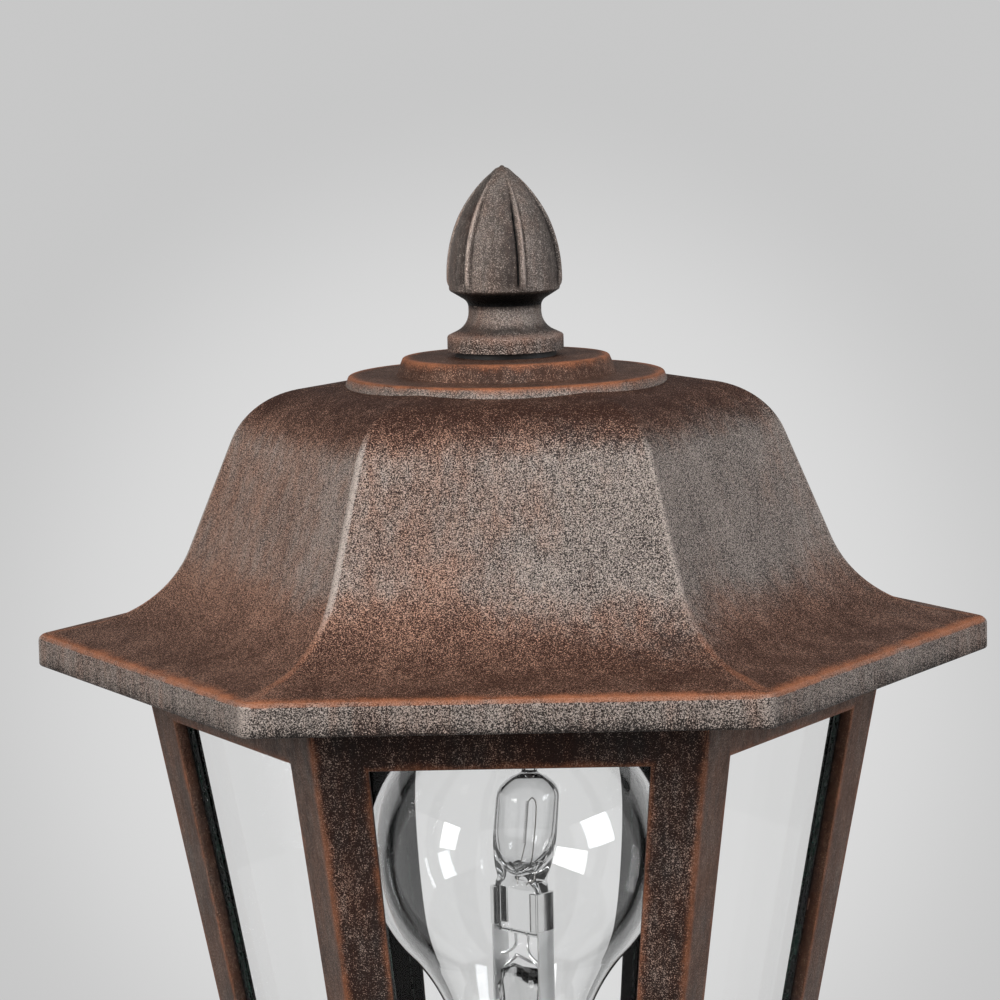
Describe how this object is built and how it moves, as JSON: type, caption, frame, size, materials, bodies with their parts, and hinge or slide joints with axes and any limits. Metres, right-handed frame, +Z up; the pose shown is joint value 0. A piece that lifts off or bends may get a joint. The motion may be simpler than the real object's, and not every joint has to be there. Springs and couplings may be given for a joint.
{
  "type": "lantern bollard",
  "caption": "Hexagonal lantern on a round post: bell-shaped mitred roof with a ribbed acorn finial, tapered glazed cage, lampholder with bulb, and a flanged foot to bolt down.",
  "frame": {"origin": "centre of the foot's underside, on the ground", "axes": "+Z up along the post, one face of the hexagonal roof square to -Y (the front), +X to the right"},
  "size_m": [0.1894, 0.1644, 1],
  "materials": {
    "rust_finish": "cast aluminium with a speckled rust-brown coat, rubbed to copper along the edges",
    "pane_glass": "clear float glass",
    "bulb_glass": "clear bulb glass",
    "steel": "zinc-plated",
    "clip_black": "black painted sheet",
    "brass": "plain turned",
    "holder_black": "moulded, black",
    "porcelain": "white glaze",
    "cap_metal": "bright pressed sheet",
    "cap_insulator": "black glass",
    "lamp_wire": "bare wire and strip",
    "lead_sheath": "black sheath",
    "terminal_plastic": "moulded"
  },
  "bodies": {
    "post": {"foot": "rust_finish", "pole": "rust_finish", "neck": "rust_finish", "lantern_cage": "rust_finish", "pane_front": "pane_glass", "pane_front_right": "pane_glass", "pane_back_right": "pane_glass", "pane_back": "pane_glass", "pane_back_left": "pane_glass", "pane_front_left": "pane_glass", "foot_screws": "steel", "neck_screws": "steel", "bracket_screw": "steel", "terminal_screws": "steel", "floor_screws": "steel", "bow_screws": "steel", "clip_screws": "steel", "roof_stud": "steel", "stud_nuts": "steel", "roof_bow": "steel", "terminal_bracket": "steel", "pane_clips": "clip_black", "nipple": "brass", "nipple_nuts": "brass", "holder_contact": "brass", "holder_sleeve": "brass", "holder_dome": "holder_black", "holder_skirt": "holder_black", "holder_insert": "porcelain", "lamp_lead": "lead_sheath", "terminal_block": "terminal_plastic"},
    "roof": {"roof": "rust_finish"},
    "finial_washer": {"finial_washer": "clip_black"},
    "finial": {"finial": "rust_finish"},
    "bulb": {"bulb_contact": "brass", "bulb_insulator": "cap_insulator", "bulb_cap": "cap_metal", "bulb_glass": "bulb_glass", "bulb_stem": "bulb_glass", "bulb_capsule": "bulb_glass", "bulb_filament": "lamp_wire", "bulb_straps": "lamp_wire"}
  },
  "joints": [
    {"name": "roof_lift", "type": "slide", "parent": "post", "child": "roof", "axis": [0, 0, 1], "range_m": [0, 0.13]},
    {"name": "finial_rise", "type": "slide", "parent": "roof", "child": "finial_washer", "axis": [0, 0, 1], "range_m": [0, 0.0125]},
    {"name": "finial_turn", "type": "hinge", "parent": "finial_washer", "child": "finial", "pos_m": [0, 0, 0.98], "axis": [0, 0, 1], "range_deg": [0, 4320]},
    {"name": "bulb_rise", "type": "slide", "parent": "post", "child": "bulb", "axis": [0, 0, 1], "range_m": [0, 0.026]}
  ],
  "couplings": [
    {"joint": "finial_rise", "follows": "finial_turn", "m_per_rad": 0.00015915}
  ]
}
